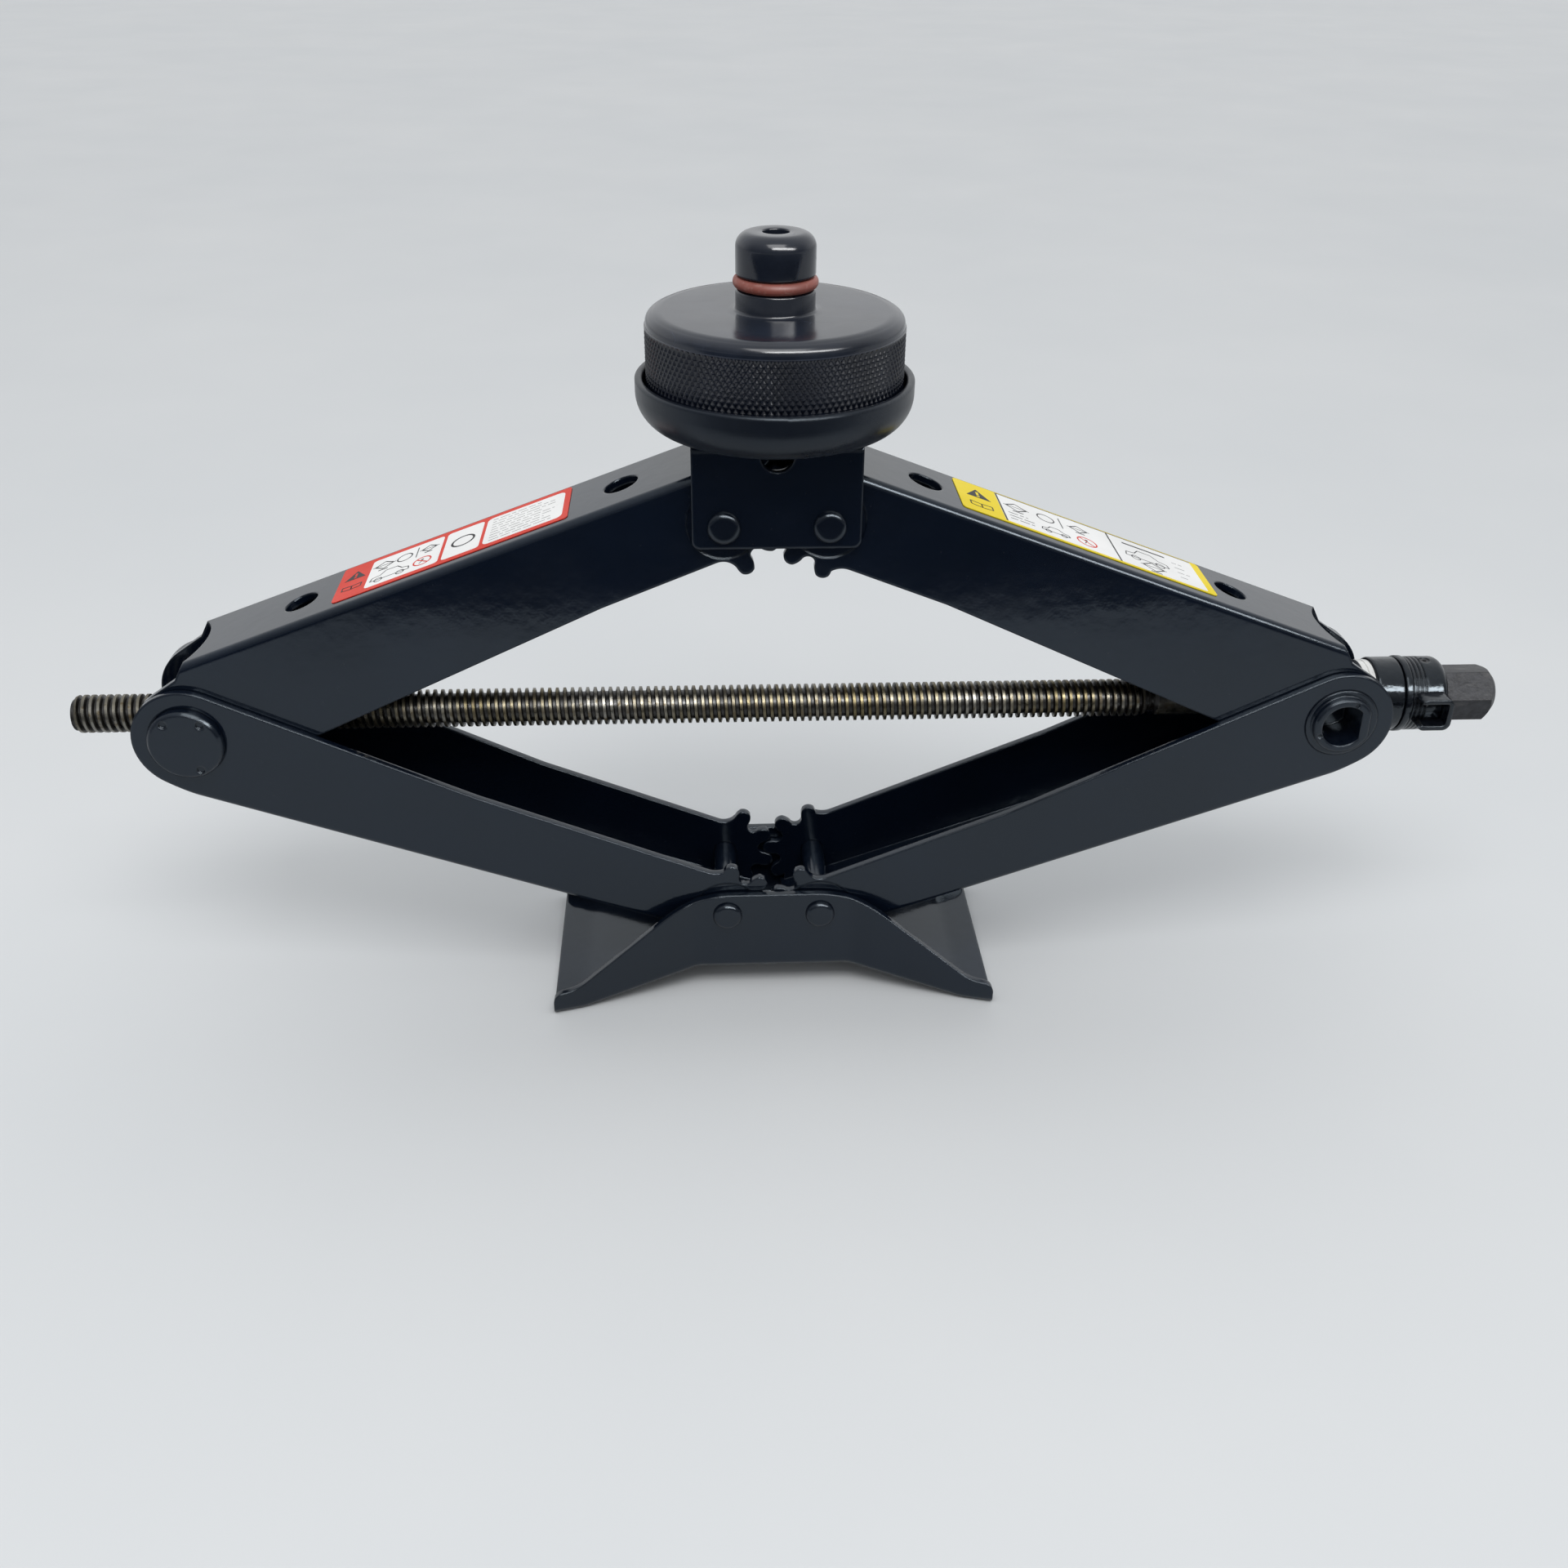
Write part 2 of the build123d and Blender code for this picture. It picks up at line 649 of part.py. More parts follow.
def make_hex_drive():
    across_corners = HEX_FLATS / 2 / cos(pi / 6)
    length = HEX_END_X - COLLAR_END_X
    nose_tip = across_corners - 3.2
    with BuildPart() as nose:
        with BuildSketch(across(COLLAR_END_X)):
            Circle(nose_tip + length * tan(radians(HEX_NOSE)))
        extrude(amount=length, taper=HEX_NOSE)
    with BuildPart() as drive:
        with BuildSketch(across(COLLAR_END_X)):
            RegularPolygon(across_corners, 6, rotation=HEX_TURN)
        extrude(amount=length)
        add(nose.part, mode=Mode.INTERSECT)
        with BuildSketch(across(COLLAR_X)):
            Circle(COLLAR_BORE)
        extrude(amount=COLLAR_END_X - COLLAR_X)
        with BuildSketch(across(COLLAR_X)):
            Circle(TAIL_RADIUS)
        extrude(amount=TAIL_END_X - COLLAR_X, mode=Mode.SUBTRACT)
        with BuildSketch(Plane.XY.offset(SCREW_Z)):
            with Locations((ROLL_PIN_X, 0)):
                Circle(ROLL_PIN_RADIUS)
        extrude(amount=COLLAR_RADIUS, both=True, mode=Mode.SUBTRACT)
    return drive


def make_roll_pin():
    with BuildPart() as pin:
        with BuildSketch(Plane.XY.offset(SCREW_Z)):
            with Locations((ROLL_PIN_X, 0)):
                Circle(ROLL_PIN_RADIUS)
                Circle(0.8, mode=Mode.SUBTRACT)
        extrude(amount=COLLAR_RADIUS - 0.3, both=True)
    return pin


def make_lock_clip():
    """A bent strip on the collar's front: two flaps and the wall that joins them."""
    left, right = COLLAR_X + 0.4, COLLAR_END_X - 1.0
    low, high, front, back = SCREW_Z - 5.3, SCREW_Z + 6.2, -17.4, -9.0
    strip = 1.6
    width, height = right - left, high - low
    with BuildPart() as clip:
        with BuildSketch(along_y((left + right) / 2, front, (low + high) / 2)):
            RectangleRounded(width, height, 2.6)
            RectangleRounded(width - 2 * strip, height - 2 * strip, 1.0, mode=Mode.SUBTRACT)
            with Locations((-width / 2, 0)):
                Rectangle(2 * strip, height - 2 * strip, mode=Mode.SUBTRACT)
        extrude(amount=back - front)
        with BuildSketch(across(COLLAR_X - 1)):
            Circle(COLLAR_RADIUS + 0.02)
        extrude(amount=20, mode=Mode.SUBTRACT)
    return clip


# ---- labels -------------------------------------------------------------------------------
LABEL_THICKNESS = 0.25


def make_label(side, start, end, low, high):
    """A sticker on an upper arm's web; start and end are distances along the arm."""
    seat = arm_seat(side, True)
    origin = seat.from_local_coords((0, 0, 0))
    web_line = Plane(
        origin=seat.from_local_coords((0, UPPER.web(0), 0)),
        x_dir=seat.from_local_coords((1, -UPPER.taper, 0)) - origin,
        z_dir=origin - seat.from_local_coords((UPPER.taper, 1, 0)),
    )
    flip = 1 if web_line.y_dir.Y > 0 else -1
    with BuildPart() as label:
        with BuildSketch(web_line):
            with Locations(((start + end) / 2, flip * (low + high) / 2)):
                RectangleRounded(end - start, high - low, 1.5)
        extrude(amount=LABEL_THICKNESS)
    return label


os.makedirs("parts", exist_ok=True)

save(make_base().part, "base_plate")
for name, (side, upper, press) in ARMS.items():
    save(channel_arm(arm_seat(side, upper), press).part, name)
save(make_bracket().part, "top_bracket")
save(make_dish().part, "saddle_dish")
save(make_saddle_rivet().part, "saddle_rivet")
save(make_pad().part, "jack_pad")
save(make_o_ring().part, "pad_o_ring")
for side, word in ((-1, "left"), (1, "right")):
    save(pivot_rivet(side * PIVOT_HALF, BASE_PIVOT_Z, BASE_HALF).part, f"base_rivet_{word}")
    save(pivot_rivet(side * PIVOT_HALF, TOP_PIVOT_Z, BRACKET_HALF).part, f"top_rivet_{word}")
save(make_trunnion_nut().part, "trunnion_nut")
save(make_trunnion_block().part, "trunnion_block")
save(make_screw().part, "lead_screw")
WASHER_SPLIT = (WASHER_X + CUP_X) / 2
save(ring(WASHER_X, WASHER_SPLIT, SHANK_RADIUS, WASHER_RADIUS, 0.4).part, "thrust_washer_inner")
save(ring(WASHER_SPLIT, CUP_X, SHANK_RADIUS, WASHER_RADIUS, 0.4).part, "thrust_washer_outer")
save(make_bearing_cup().part, "bearing_cup")
save(make_balls().part, "bearing_balls")
save(ring(CUP_X + 4.6, CUP_END_X - 2, SHANK_RADIUS, 10.3).part, "bearing_race")
save(ring(RETAINER_X, COLLAR_X - 0.2, SHANK_RADIUS, 13.1, 0.5).part, "retaining_ring")
save(make_drive_collar().part, "drive_collar")
save(make_hex_drive().part, "hex_drive")
save(make_roll_pin().part, "roll_pin")
save(make_lock_clip().part, "lock_clip")
save(make_label(-1, 44.0, 124.4, -12.2, 14.2).part, "label_left")
save(make_label(1, 38.0, 129.0, -11.4, 14.2).part, "label_right")
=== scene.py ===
import json
import math
import random

import bmesh
import bpy
from mathutils import Matrix, Vector


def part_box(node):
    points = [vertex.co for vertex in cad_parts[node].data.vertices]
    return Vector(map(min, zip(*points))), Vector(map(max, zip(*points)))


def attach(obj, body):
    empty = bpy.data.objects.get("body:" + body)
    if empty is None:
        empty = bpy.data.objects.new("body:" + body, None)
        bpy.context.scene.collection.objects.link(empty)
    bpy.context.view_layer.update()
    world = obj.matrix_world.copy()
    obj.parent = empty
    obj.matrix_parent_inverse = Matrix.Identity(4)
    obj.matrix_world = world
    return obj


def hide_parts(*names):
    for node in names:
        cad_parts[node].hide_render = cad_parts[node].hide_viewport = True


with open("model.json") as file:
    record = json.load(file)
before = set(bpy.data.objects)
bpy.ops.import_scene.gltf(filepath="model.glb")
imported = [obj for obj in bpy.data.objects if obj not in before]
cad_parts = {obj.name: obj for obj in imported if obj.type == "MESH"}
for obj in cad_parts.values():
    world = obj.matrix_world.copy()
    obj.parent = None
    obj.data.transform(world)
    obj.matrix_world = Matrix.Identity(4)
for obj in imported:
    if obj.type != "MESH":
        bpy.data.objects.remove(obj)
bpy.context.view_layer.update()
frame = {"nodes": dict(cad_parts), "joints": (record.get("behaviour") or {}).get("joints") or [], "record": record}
nodes = frame["nodes"]
mounts = {m["name"]: m for m in frame["record"]["mounts"]}
joints = {j["name"]: j for j in frame["joints"]}
scene = bpy.context.scene
random.seed(7)

MM = 0.001
SCREW_Z = joints["screw_spin"]["pos_m"][2]
SCREW_OUTER, SCREW_CORE = 6.35 * MM, 4.9 * MM          # thread crest and root radii


# ---- camera --------------------------------------------------------------------------------
def add_camera():
    yaw, pitch, roll = 0.061, 0.544, 0.013             # radians, pitch downward
    place = Vector((-0.02428, -0.46927, 0.35544))
    data = bpy.data.cameras.new("camera")
    data.sensor_width, data.lens = 36.0, 36.06
    data.clip_start, data.clip_end = 0.01, 20.0
    camera = bpy.data.objects.new("camera", data)
    scene.collection.objects.link(camera)
    ahead = math.cos(pitch)
    forward = Vector((math.sin(yaw) * ahead, math.cos(yaw) * ahead, -math.sin(pitch)))
    right = Vector((math.cos(yaw), -math.sin(yaw), 0))
    up = right.cross(forward)
    side = math.cos(roll) * right + math.sin(roll) * up
    top = math.cos(roll) * up - math.sin(roll) * right
    turn = Matrix((side, top, -forward)).transposed().to_4x4()
    camera.matrix_world = Matrix.Translation(place) @ turn
    scene.camera = camera


add_camera()


# ---- material nodes ------------------------------------------------------------------------
class Shader:
    """A material under construction. A value is either a socket or a plain number."""

    def __init__(self, name):
        self.material = bpy.data.materials.new(name)
        self.material.use_nodes = True
        self.tree = self.material.node_tree
        self.principled = self.tree.nodes["Principled BSDF"]
        self.place = self.tree.nodes.new("ShaderNodeTexCoord").outputs["Object"]

    def link(self, value, socket):
        if isinstance(value, bpy.types.NodeSocket):
            self.tree.links.new(value, socket)
        else:
            socket.default_value = value

    def stretch(self, scale):
        node = self.tree.nodes.new("ShaderNodeMapping")
        self.link(self.place, node.inputs["Vector"])
        node.inputs["Scale"].default_value = scale
        return node.outputs["Vector"]

    def noise(self, scale, detail=3.0, rough=0.55, vector=None):
        node = self.tree.nodes.new("ShaderNodeTexNoise")
        self.link(vector or self.place, node.inputs["Vector"])
        node.inputs["Scale"].default_value = scale
        node.inputs["Detail"].default_value = detail
        node.inputs["Roughness"].default_value = rough
        return node.outputs["Fac"]

    def cells(self, scale, vector):
        """Distance to the nearest edge between random cells."""
        node = self.tree.nodes.new("ShaderNodeTexVoronoi")
        node.feature = "DISTANCE_TO_EDGE"
        self.link(vector, node.inputs["Vector"])
        node.inputs["Scale"].default_value = scale
        return node.outputs["Distance"]

    def spots(self, scale):
        """Distance to the nearest of many random points."""
        node = self.tree.nodes.new("ShaderNodeTexVoronoi")
        self.link(self.place, node.inputs["Vector"])
        node.inputs["Scale"].default_value = scale
        return node.outputs["Distance"]

    def remap(self, value, low, high, out_low=0.0, out_high=1.0):
        node = self.tree.nodes.new("ShaderNodeMapRange")
        self.link(value, node.inputs["Value"])
        limits = {"From Min": low, "From Max": high, "To Min": out_low, "To Max": out_high}
        for key, number in limits.items():
            node.inputs[key].default_value = number
        return node.outputs["Result"]

    def math(self, kind, a, b=0.0):
        node = self.tree.nodes.new("ShaderNodeMath")
        node.operation = kind
        self.link(a, node.inputs[0])
        self.link(b, node.inputs[1])
        return node.outputs["Value"]

    def times(self, a, b):
        return self.math("MULTIPLY", a, b)

    def plus(self, a, b):
        return self.math("ADD", a, b)

    def mix(self, factor, a, b):
        node = self.tree.nodes.new("ShaderNodeMix")
        node.data_type = "RGBA"
        self.link(factor, node.inputs["Factor"])
        for value, socket in ((a, node.inputs[6]), (b, node.inputs[7])):
            is_socket = isinstance(value, bpy.types.NodeSocket)
            self.link(value if is_socket else (*value, 1.0), socket)
        return node.outputs[2]

    def bump(self, height, distance, normal=None):
        node = self.tree.nodes.new("ShaderNodeBump")
        node.inputs["Distance"].default_value = distance
        node.inputs["Strength"].default_value = 1.0
        self.link(height, node.inputs["Height"])
        if normal:
            self.link(normal, node.inputs["Normal"])
        return node.outputs["Normal"]

    def soft_edges(self, radius):
        node = self.tree.nodes.new("ShaderNodeBevel")
        node.samples = 6
        node.inputs["Radius"].default_value = radius
        return node.outputs["Normal"]

    def facing(self):
        return self.tree.nodes.new("ShaderNodeNewGeometry").outputs["Normal"]

    def edges(self, radius):
        """0 on open faces, rising to 1 at sharp edges."""
        node = self.tree.nodes.new("ShaderNodeVectorMath")
        node.operation = "DOT_PRODUCT"
        self.link(self.soft_edges(radius), node.inputs[0])
        self.link(self.facing(), node.inputs[1])
        return self.remap(node.outputs["Value"], 1.0, 0.75)

    def upward(self):
        """0 on walls, rising to 1 on level tops."""
        node = self.tree.nodes.new("ShaderNodeSeparateXYZ")
        self.link(self.facing(), node.inputs[0])
        return self.remap(node.outputs["Z"], 0.2, 1.0)

    def along(self, axis):
        node = self.tree.nodes.new("ShaderNodeSeparateXYZ")
        self.link(self.place, node.inputs[0])
        return node.outputs[axis]

    def finish(self, colour, rough, normal=None, **fixed):
        self.link(colour, self.principled.inputs["Base Color"])
        self.link(rough, self.principled.inputs["Roughness"])
        if normal:
            self.link(normal, self.principled.inputs["Normal"])
        for key, value in fixed.items():
            self.principled.inputs[key.replace("_", " ")].default_value = value
        return self.material


def scaled(colour, factor, lift=0.0):
    return tuple(factor * c + lift for c in colour)


def gloss_paint(name, base, worn_and_highlight_tone, rough, peel=0.00003, wear_and_highlight=0.35, shine=0.5):
    """Enamel over pressed steel: orange peel, faint dust, thin pale edges that are part wear and part painted
    highlight.
    """
    dust, speck_grey, cool_tint = 0.25, (0.10, 0.10, 0.10), (0.80, 0.91, 1.0, 1.0)
    s = Shader(name)
    cloud = s.noise(18.0, 4.0)
    fine = s.noise(420.0)
    # edge mask: sheet edges, which get rougher and paler; the paler colour is part edge wear and part painted
    # highlight
    edge = s.times(s.edges(0.0007), s.remap(s.noise(160.0, 4.0), 0.45, 0.66))
    dirt = s.times(s.upward(), s.remap(s.times(cloud, fine), 0.2, 0.42))
    speck = s.remap(s.spots(230.0), 0.05, 0.025)
    colour = s.mix(s.remap(cloud, 0.35, 0.65), scaled(base, 0.7), base)
    colour = s.mix(s.times(dirt, dust), colour, scaled(base, 2.0, 0.016))
    colour = s.mix(s.times(speck, 0.18), colour, speck_grey)
    # pale edges: part real edge wear, part painted highlight where the sheet edges catch the light
    colour = s.mix(s.times(edge, wear_and_highlight), colour, worn_and_highlight_tone)
    scuffs = s.remap(s.noise(60.0, 6.0, 0.7, s.stretch((0.35, 1.0, 1.6))), 0.5, 0.75)
    smooth = s.remap(s.noise(30.0, 4.0), 0.3, 0.7, rough * 0.75, rough * 1.35)
    roughness = s.plus(smooth, s.times(scuffs, 0.05))
    roughness = s.plus(roughness, s.times(edge, 0.10))
    normal = s.bump(s.noise(300.0, 2.0), peel, s.soft_edges(0.0011))
    normal = s.bump(s.noise(80.0, 1.0), peel * 2.5, normal)
    return s.finish(colour, roughness, normal, Specular_Tint=cool_tint,
                    Specular_IOR_Level=shine)


def pad_rubber(name, base, rough):
    """Moulded hard rubber with faint bloom, swirls and scratches."""
    grain, swell = 0.00001, 0.00007
    s = Shader(name)
    bloom = s.noise(45.0, 5.0, 0.6)
    scratch = s.remap(s.cells(26.0, s.stretch((1.0, 2.4, 1.0))), 0.010, 0.0)
    broken = s.times(scratch, s.remap(s.noise(70.0, 2.0), 0.52, 0.6))
    rubbed = scaled(base, 3.0)
    colour = s.mix(s.remap(bloom, 0.38, 0.7), base, scaled(base, 1.6, 0.003))
    colour = s.mix(s.times(broken, 0.4), colour, rubbed)
    colour = s.mix(s.times(s.edges(0.0005), 0.3), colour, rubbed)
    swirl = s.noise(30.0, 5.0, 0.65, s.stretch((1.0, 1.6, 1.0)))
    roughness = s.remap(swirl, 0.3, 0.72, rough * 0.75, rough * 1.35)
    roughness = s.plus(roughness, s.times(broken, 0.12))
    normal = s.bump(s.noise(1400.0, 2.0), grain)
    normal = s.bump(s.noise(36.0), swell, normal)
    return s.finish(colour, roughness, normal)


def greasy_steel(name, axis_z, core, crest):
    """Rolled screw thread: bright oiled crests, black grease packed in the roots."""
    steel, gold, rust = (0.20, 0.194, 0.175), (0.12, 0.10, 0.055), (0.10, 0.08, 0.05)
    grease = (0.005, 0.004, 0.003)
    wander = 1.1                           # of the thread's depth
    grease_level, clean_level = 0.60, 0.95
    s = Shader(name)
    across_y = s.along("Y")
    across_z = s.math("SUBTRACT", s.along("Z"), axis_z)
    square = s.plus(s.times(across_y, across_y), s.times(across_z, across_z))
    radius = s.math("SQRT", square)
    patch = s.noise(22.0, 5.0, 0.6)
    fine = s.noise(420.0, 4.0, 0.6)
    bright = s.mix(s.remap(patch, 0.42, 0.60), steel, gold)
    bright = s.mix(s.remap(fine, 0.54, 0.66), bright, rust)
    depth = crest - core
    drift = s.times(s.math("SUBTRACT", s.noise(150.0, 4.0), 0.5), depth * wander)
    height = s.plus(radius, drift)
    clean = s.remap(height, core + depth * grease_level, core + depth * clean_level)
    colour = s.mix(clean, grease, bright)
    s.link(clean, s.principled.inputs["Metallic"])
    return s.finish(colour, s.remap(fine, 0.3, 0.7, 0.22, 0.50), s.bump(fine, 0.00009))


def plated(name, base, rough):
    """Bright steel with fine turning rings and dull stains."""
    s = Shader(name)
    stain = s.remap(s.noise(70.0, 4.0), 0.5, 0.72)
    rings = s.noise(900.0, 2.0, 0.5, s.stretch((3.0, 0.4, 0.4)))
    colour = s.mix(s.times(stain, 0.6), base, scaled(base, 0.35))
    roughness = s.remap(s.noise(300.0, 4.0), 0.3, 0.7, rough * 0.8, rough * 1.3)
    normal = s.bump(rings, 0.00002, s.soft_edges(0.0003))
    return s.finish(colour, roughness, normal, Metallic=0.95)


def blackened(name):
    """Oxide-black forging with grey rubbed patches and a weathered grain."""
    black, grey = (0.013, 0.014, 0.017), (0.050, 0.052, 0.060)
    streak_grey, edge_grey = (0.085, 0.083, 0.082), (0.16, 0.155, 0.15)
    s = Shader(name)
    patch = s.noise(120.0, 6.0, 0.7)
    streak = s.noise(300.0, 4.0, 0.6, s.stretch((0.25, 1.0, 1.0)))
    colour = s.mix(s.remap(patch, 0.4, 0.68), black, grey)
    colour = s.mix(s.times(s.remap(streak, 0.55, 0.7), 0.5), colour, streak_grey)
    colour = s.mix(s.times(s.edges(0.0007), 0.5), colour, edge_grey)
    roughness = s.remap(patch, 0.35, 0.7, 0.32, 0.55)
    normal = s.bump(s.noise(500.0, 5.0), 0.00012, s.soft_edges(0.0005))
    return s.finish(colour, roughness, normal, Metallic=0.12, Specular_IOR_Level=0.22)


def film(name, base):
    """Printed sticker film with faint ripples and scuffs."""
    scuff_grey = (0.45, 0.43, 0.4)
    s = Shader(name)
    fade = s.noise(35.0, 4.0)
    scuff = s.remap(s.noise(380.0, 5.0, 0.7), 0.62, 0.74)
    colour = s.mix(s.remap(fade, 0.35, 0.7), base, scaled(base, 0.9))
    colour = s.mix(s.times(scuff, 0.18), colour, scuff_grey)
    roughness = s.remap(fade, 0.3, 0.7, 0.304, 0.494)
    return s.finish(colour, roughness, s.bump(s.noise(120.0, 2.0), 0.00003),
                    Specular_IOR_Level=0.1)


def silicone(name, base):
    """Soft ring rubber with a pale bloom."""
    pale = (0.5, 0.3, 0.26)
    s = Shader(name)
    tone = s.noise(60.0, 4.0)
    bloom = s.remap(s.noise(600.0), 0.55, 0.7)
    colour = s.mix(s.remap(tone, 0.35, 0.68), base, scaled(base, 0.62))
    colour = s.mix(s.times(bloom, 0.25), colour, pale)
    roughness = s.remap(tone, 0.3, 0.7, 0.42, 0.62)
    return s.finish(colour, roughness, s.bump(s.noise(900.0), 0.00003),
                    Subsurface_Weight=0.05)


def stage_floor(name):
    """Pale table top with a soft sheen."""
    shaded, lit = (0.70, 0.72, 0.735), (0.735, 0.75, 0.76)
    s = Shader(name)
    colour = s.mix(s.remap(s.noise(3.0, 4.0), 0.3, 0.7), shaded, lit)
    roughness = s.remap(s.noise(9.0), 0.15, 0.85, 0.34, 0.46)
    return s.finish(colour, roughness, s.bump(s.noise(60.0, 2.0), 0.00002),
                    Specular_IOR_Level=0.1)


def dull_black(name):
    """Black from above and clear from below, so that it leaves the floor under it alone."""
    black, soot = (0.004, 0.005, 0.007), (0.007, 0.008, 0.011)
    s = Shader(name)
    colour = s.mix(s.remap(s.noise(20.0), 0.35, 0.65), black, soot)
    s.finish(colour, s.remap(s.noise(40.0), 0.3, 0.7, 0.8, 0.95), Specular_IOR_Level=0.1)
    geometry = s.tree.nodes.new("ShaderNodeNewGeometry")
    clear = s.tree.nodes.new("ShaderNodeBsdfTransparent")
    sides = s.tree.nodes.new("ShaderNodeMixShader")
    s.link(geometry.outputs["Backfacing"], sides.inputs["Fac"])
    s.link(s.principled.outputs["BSDF"], sides.inputs[1])
    s.link(clear.outputs["BSDF"], sides.inputs[2])
    s.link(sides.outputs["Shader"], s.tree.nodes["Material Output"].inputs["Surface"])
    return s.material


FRAME_PAINT = gloss_paint("frame_paint", (0.0036, 0.0070, 0.0155), (0.10, 0.105, 0.115), 0.11)
DISH_PAINT = gloss_paint("dish_paint", (0.0056, 0.0084, 0.0155), (0.10, 0.10, 0.105), 0.30,
                         wear_and_highlight=0.6, shine=0.36)
PIVOT_PAINT = gloss_paint("pivot_paint", (0.0036, 0.0068, 0.0145), (0.08, 0.082, 0.088), 0.15)
DRIVE_PAINT = gloss_paint("drive_paint", (0.0030, 0.0040, 0.0070), (0.09, 0.085, 0.08), 0.12,
                          peel=0.00016)
PAD = pad_rubber("pad_rubber", (0.0090, 0.0125, 0.0215), 0.17)
KNURL = pad_rubber("pad_knurl", (0.0026, 0.0044, 0.0100), 0.20)
SILICONE = silicone("ring_rubber", (0.33, 0.085, 0.062))
THREAD = greasy_steel("screw_steel", SCREW_Z, SCREW_CORE, SCREW_OUTER)
ZINC = plated("zinc_steel", (0.80, 0.80, 0.78), 0.22)
BEARING = plated("bearing_steel", (0.62, 0.62, 0.62), 0.18)
HEX = blackened("hex_steel")
RED_FILM = film("label_red", (0.70, 0.045, 0.024))
YELLOW_FILM = film("label_yellow", (0.90, 0.70, 0.010))
WHITE_FILM = film("label_white", (0.91, 0.91, 0.90))
INK_FILM = film("label_ink", (0.03, 0.03, 0.032))
GREY_FILM = film("label_grey", (0.30, 0.30, 0.30))

BY_SLOT = {
    "frame_paint": FRAME_PAINT, "dish_paint": DISH_PAINT, "pivot_paint": PIVOT_PAINT,
    "drive_paint": DRIVE_PAINT, "pad_rubber": PAD, "ring_rubber": SILICONE,
    "screw_steel": THREAD, "zinc_steel": ZINC, "bearing_steel": BEARING, "hex_steel": HEX,
    "label_red": RED_FILM, "label_yellow": YELLOW_FILM,
}
for part in frame["record"]["subparts"]:
    mesh = nodes[part["node"]].data
    mesh.materials.clear()
    mesh.materials.append(BY_SLOT[part["material_slot"]])


# ---- mesh helpers --------------------------------------------------------------------------
def piece(name, mesh, body, materials):
    """A new object that rides on a CAD body."""
    made = bpy.data.objects.new(name, mesh)
    scene.collection.objects.link(made)
    for material in materials:
        mesh.materials.append(material)
    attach(made, body)
    return made


def mesh_from(bm, name):
    mesh = bpy.data.meshes.new(name)
    bm.to_mesh(mesh)
    bm.free()
    return mesh


def shade(mesh, angle):
    """Smooth shading, with edges sharper than the angle kept crisp."""
    mesh.polygons.foreach_set("use_smooth", [True] * len(mesh.polygons))
    mesh.set_sharp_from_angle(angle=math.radians(angle))


def arc(centre_x, centre_y, r, start, stop, steps):
    """Points on an arc from start to stop degrees, both ends included."""
    turns = [math.radians(start + (stop - start) * i / steps) for i in range(steps + 1)]
    return [(centre_x + r * math.cos(t), centre_y + r * math.sin(t)) for t in turns]


# ---- lifting pad with a knurled band -------------------------------------------------------
KNURL_TURNS, KNURL_CELL = 120, 10          # diamonds round the band, mesh cells across one
KNURL_DEPTH, DIAMOND_HEIGHT = 0.56 * MM, 3.0 * MM
DIAMOND_FLAT = 0.05                        # part of a diamond left flat on top
KNURL_FADE = 2.0                           # rows over which the band's edges run out
PLAIN, KNURLED = 0, 1                      # the pad's material places


def pad_profile():
    """(radius, z) points from the middle of the underside, out and up the side, in over the
    top and up the spigot to its middle, and the range of points that lies in the band."""
    low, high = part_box("jack_pad")
    ring_low, ring_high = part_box("pad_o_ring")
    top = mounts["pad_top"]["pos_m"][2]
    radius = (high.x - low.x) / 2
    recess, recess_deep, belly = 11.0 * MM, 3.0 * MM, 9.0 * MM
    shoulder, rim, step = 3.2 * MM, 1.1 * MM, 0.35 * MM
    spigot = mounts["pad_spigot"]["dims"]["r_mm"] * MM
    foot, crown, lip = 0.9 * MM, 4.2 * MM, 0.7 * MM
    ring_thick, ring_play = 3.55 * MM, 0.25 * MM
    groove_half = (ring_high.z - ring_low.z) / 2 + ring_play
    groove_floor = (ring_high.x - ring_low.x) / 2 - ring_thick
    ring_z = (ring_low.z + ring_high.z) / 2
    groove_low, groove_high = ring_z - groove_half, ring_z + groove_half
    bore, bore_deep, bore_lip = 3.9 * MM, 12.0 * MM, 0.5 * MM

    # underside and belly
    profile = [(0.0, low.z + recess_deep), (recess, low.z + recess_deep), (recess, low.z)]
    profile += arc(radius - belly, low.z + belly, belly, -90, 0, 10)[:-1]
    # knurled band
    band_low, band_top = low.z + belly, top - shoulder - rim
    rows = round((band_top - band_low) / DIAMOND_HEIGHT * KNURL_CELL)
    start = len(profile)
    profile += [(radius, band_low + (band_top - band_low) * i / rows) for i in range(rows + 1)]
    band = range(start, len(profile))
    # a small step in, then the shoulder and the flat top
    profile += [(radius - 0.02 * MM, band_top + 0.12 * MM),
                (radius - step, band_top + 0.3 * MM)]
    profile += arc(radius - shoulder, top - shoulder, shoulder - step, 0, 90, 9)[:-1]
    profile += [(radius - shoulder, top - step * 0.2), (radius - shoulder - 2 * MM, top),
                (radius * 0.62, top), (spigot + foot + 2 * MM, top)]
    # spigot, ring groove, crown and bore
    profile += arc(spigot + foot, top + foot, foot, -90, -180, 4)
    profile += arc(spigot - lip, groove_low - lip, lip, 0, 90, 4)
    profile += [(groove_floor, groove_low), (groove_floor, groove_high)]
    profile += arc(spigot - lip, groove_high + lip, lip, -90, 0, 4)
    profile += arc(spigot - crown, high.z - crown, crown, 0, 90, 10)
    profile += arc(bore + bore_lip, high.z - bore_lip, bore_lip, 90, 180, 4)
    profile += [(bore, high.z - bore_deep), (0.0, high.z - bore_deep)]
    return profile, band


